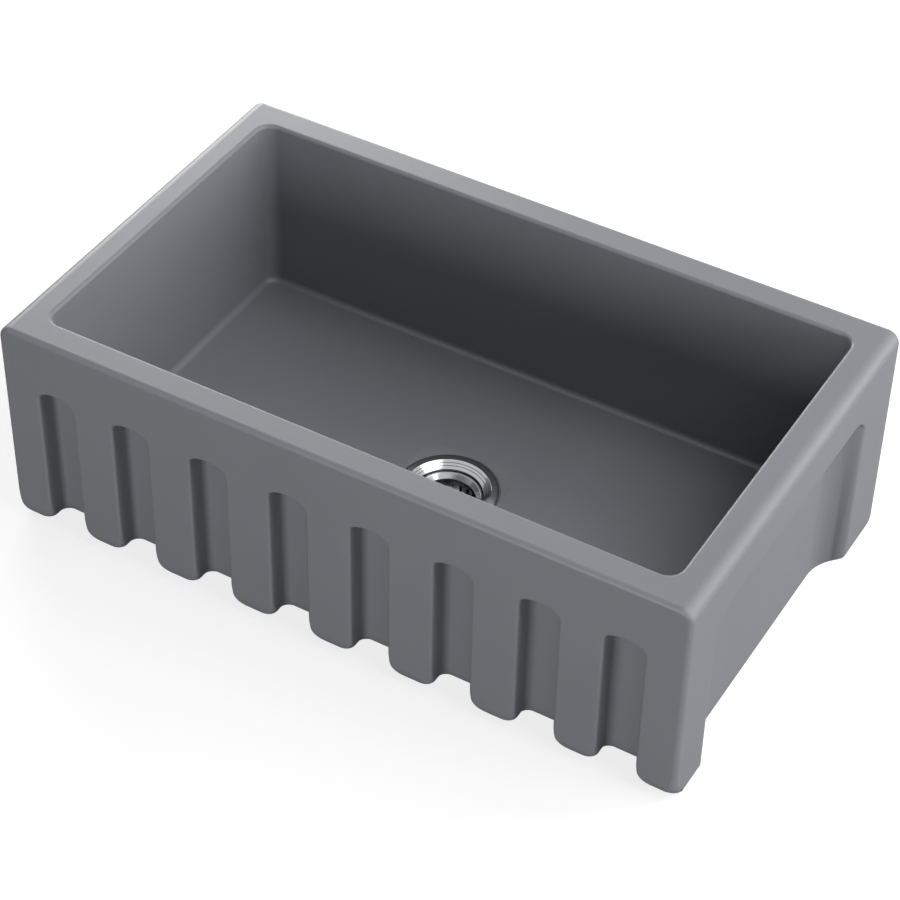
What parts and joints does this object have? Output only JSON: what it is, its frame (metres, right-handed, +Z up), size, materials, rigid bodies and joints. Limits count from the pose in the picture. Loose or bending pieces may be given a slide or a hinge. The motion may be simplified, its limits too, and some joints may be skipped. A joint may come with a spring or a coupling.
{
  "type": "apron front kitchen sink",
  "caption": "Apron-front fireclay kitchen sink with a rectangular bowl, fluted front, recessed sides and a lift-out basket strainer in its drain.",
  "frame": {"origin": "centre of the plane that the foot ring of the body stands on, straight below the middle of the drain", "axes": "+X along the length to the right as seen from the front, +Y to the back so the fluted apron faces -Y, +Z up"},
  "size_m": [0.762, 0.4572, 0.4039],
  "materials": {
    "fireclay": "matt grey glaze",
    "putty": "soft",
    "strainer_steel": "polished",
    "basket_steel": "polished",
    "turned_steel": "polished",
    "spring_steel": "satin",
    "brass": "raw turned",
    "black_rubber": "matt",
    "fibre": "pressed",
    "zinc_casting": "die cast",
    "white_nylon": "moulded",
    "plated_tube": "bright plated",
    "plated_nut": "bright plated"
  },
  "bodies": {
    "sink": {"sink_body": "fireclay", "putty_ring": "putty", "strainer_body": "strainer_steel", "cross_bar": "strainer_steel", "outlet_collar": "brass", "sink_gasket": "black_rubber", "friction_washer": "fibre", "locknut": "zinc_casting", "tailpiece_washer": "white_nylon", "tailpiece": "plated_tube", "coupling_nut": "plated_nut"},
    "stopper_set": {"basket_post": "turned_steel", "basket_knob": "turned_steel", "glide_washer": "white_nylon", "stopper_plate": "basket_steel", "stopper_seal": "black_rubber", "spring_clip": "spring_steel", "post_nut": "turned_steel"},
    "basket": {"basket_cup": "basket_steel"}
  },
  "joints": [
    {"name": "basket_lift", "type": "slide", "parent": "sink", "child": "stopper_set", "axis": [0, 0, 1], "range_m": [0, 0.085]},
    {"name": "basket_turn", "type": "hinge", "parent": "stopper_set", "child": "basket", "pos_m": [0, 0, 0], "axis": [0, 0, 1], "continuous": true}
  ]
}
